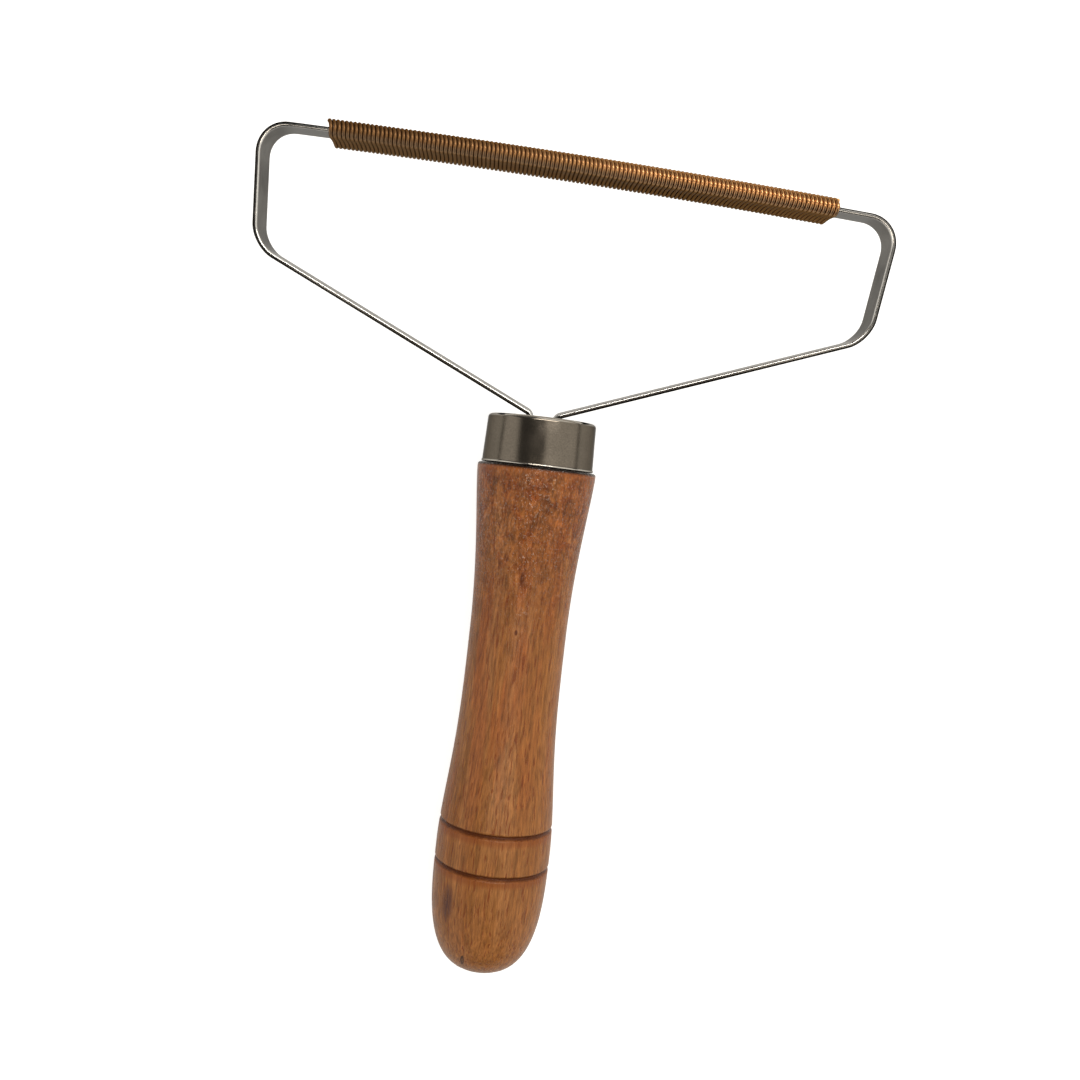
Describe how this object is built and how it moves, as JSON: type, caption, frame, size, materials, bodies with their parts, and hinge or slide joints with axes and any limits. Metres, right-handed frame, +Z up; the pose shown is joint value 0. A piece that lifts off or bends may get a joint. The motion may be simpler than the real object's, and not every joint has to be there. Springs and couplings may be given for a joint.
{
  "type": "lint brush",
  "caption": "Hand lint brush: a turned wooden handle with a steel ferrule holds a flat steel loop, and a copper wire coil on the loop's top bar lifts lint and pills off cloth.",
  "frame": {"origin": "under the centre of the part's bounding box, on the surface that the brush lies on", "axes": "+Y along the handle towards the head, +Z up out of the surface, +X to the right of someone who looks down at the brush with its head away from them"},
  "size_m": [0.129, 0.171, 0.0248],
  "materials": {
    "varnished_wood": "satin varnish",
    "nickelled_steel": "satin nickel",
    "strip_steel": "bright rolled steel",
    "copper_wire": "drawn copper",
    "set_glue": "clouded resin"
  },
  "bodies": {
    "brush": {"handle": "varnished_wood", "ferrule": "nickelled_steel", "frame_band": "strip_steel", "glue_plug": "set_glue"},
    "coil": {"copper_coil": "copper_wire"}
  },
  "joints": [
    {"name": "coil_slide", "type": "slide", "parent": "brush", "child": "coil", "axis": [0.9993, -0.0384, 0], "range_m": [-0.0056, 0.0055]}
  ]
}
